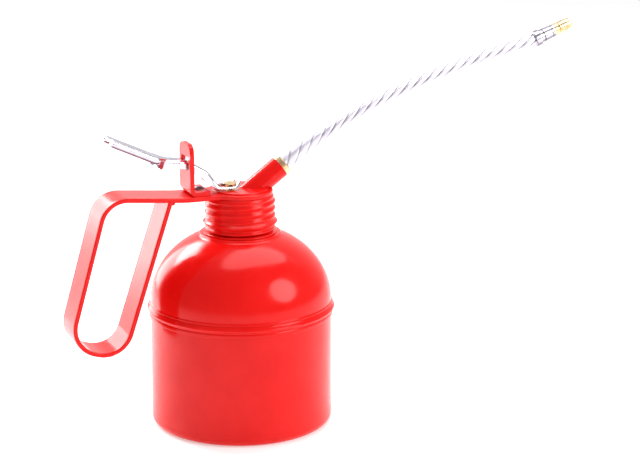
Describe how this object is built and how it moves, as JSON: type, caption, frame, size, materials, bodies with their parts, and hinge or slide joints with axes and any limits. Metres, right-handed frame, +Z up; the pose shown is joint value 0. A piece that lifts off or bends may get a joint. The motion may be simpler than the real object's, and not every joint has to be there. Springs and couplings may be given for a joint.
{
  "type": "pump oil can",
  "caption": "Hand oil can: round domed can, screw cap with grip loop, thumb lever that works a piston pump, and a long flexible spout.",
  "frame": {"origin": "centre of the flat base, on the surface the can stands on", "axes": "+Z up along the can's axis; +X towards the spout's tip, with the grip loop on the -X side; +Y across the can"},
  "size_m": [0.2696, 0.093, 0.1915],
  "materials": {
    "red_enamel": "gloss",
    "chrome_plate": "polished",
    "brass": "satin",
    "steel": "satin",
    "hose_metal": "polished",
    "black_rubber": "matt"
  },
  "bodies": {
    "can": {"can_bowl": "red_enamel", "can_dome": "red_enamel", "neck_ring": "red_enamel"},
    "gasket": {"neck_gasket": "black_rubber"},
    "pump_assembly": {"screw_cap": "red_enamel", "handle_strip": "red_enamel", "leg_braze": "red_enamel", "lever_bracket": "red_enamel", "bracket_rivet": "steel", "pump_head": "red_enamel", "retaining_ring": "steel", "gland_packing": "black_rubber", "gland_nut": "brass", "pump_barrel": "brass", "return_spring": "steel", "foot_valve_body": "brass", "ball_stop_pin": "steel", "suction_tube": "brass", "strainer": "brass", "spout_nut": "brass", "hose_guard": "hose_metal", "hose_root": "hose_metal"},
    "lever": {"lever": "chrome_plate"},
    "plunger": {"plunger_rod": "brass", "plunger_button": "brass", "piston_body": "brass", "piston_seal": "black_rubber"},
    "piston_ball": {"piston_ball": "steel"},
    "foot_ball": {"foot_valve_ball": "steel"},
    "spout_1": {"hose_link_1": "hose_metal"},
    "spout_2": {"hose_link_2": "hose_metal"},
    "spout_3": {"hose_link_3": "hose_metal"},
    "spout_4": {"hose_link_4": "hose_metal"},
    "spout_5": {"hose_link_5": "hose_metal", "tip_collar": "chrome_plate", "nozzle_body": "chrome_plate", "nozzle_tip": "brass"}
  },
  "joints": [
    {"name": "cap_turn", "type": "hinge", "parent": "gasket", "child": "pump_assembly", "pos_m": [0, 0, 0.106], "axis": [0, 0, 1], "range_deg": [0, 1353]},
    {"name": "cap_rise", "type": "slide", "parent": "can", "child": "gasket", "axis": [0, 0, 1], "range_m": [0, 0.01312]},
    {"name": "lever_press", "type": "hinge", "parent": "pump_assembly", "child": "lever", "pos_m": [-0.0271, 0, 0.1323], "axis": [0, -1, 0], "range_deg": [0, 27.3]},
    {"name": "plunger_lift", "type": "slide", "parent": "pump_assembly", "child": "plunger", "axis": [0, 0, 1], "range_m": [0, 0.0104], "stiffness_N_per_m": 900, "springref_m": -0.008, "deforming": ["return_spring"]},
    {"name": "piston_ball_lift", "type": "slide", "parent": "plunger", "child": "piston_ball", "axis": [0, 0, 1], "range_m": [0, 0.001]},
    {"name": "foot_ball_lift", "type": "slide", "parent": "pump_assembly", "child": "foot_ball", "axis": [0, 0, 1], "range_m": [0, 0.001]},
    {"name": "spout_bend_1", "type": "hinge", "parent": "pump_assembly", "child": "spout_1", "pos_m": [0.04507, 0, 0.14279], "axis": [0, -1, 0], "range_deg": [-25, 25]},
    {"name": "spout_bend_2", "type": "hinge", "parent": "spout_1", "child": "spout_2", "pos_m": [0.06681, 0, 0.15387], "axis": [-0.3665, 0, 0.9304], "range_deg": [-25, 25]},
    {"name": "spout_bend_3", "type": "hinge", "parent": "spout_2", "child": "spout_3", "pos_m": [0.08951, 0, 0.16281], "axis": [0, -1, 0], "range_deg": [-25, 25]},
    {"name": "spout_bend_4", "type": "hinge", "parent": "spout_3", "child": "spout_4", "pos_m": [0.11272, 0, 0.17035], "axis": [-0.2588, 0, 0.9659], "range_deg": [-25, 25]},
    {"name": "spout_bend_5", "type": "hinge", "parent": "spout_4", "child": "spout_5", "pos_m": [0.13628, 0, 0.17666], "axis": [0, -1, 0], "range_deg": [-25, 25]}
  ],
  "couplings": [
    {"joint": "cap_turn", "follows": "cap_rise", "rad_per_m": 1795.2},
    {"joint": "lever_press", "follows": "plunger_lift", "rad_per_m": 45.249}
  ]
}
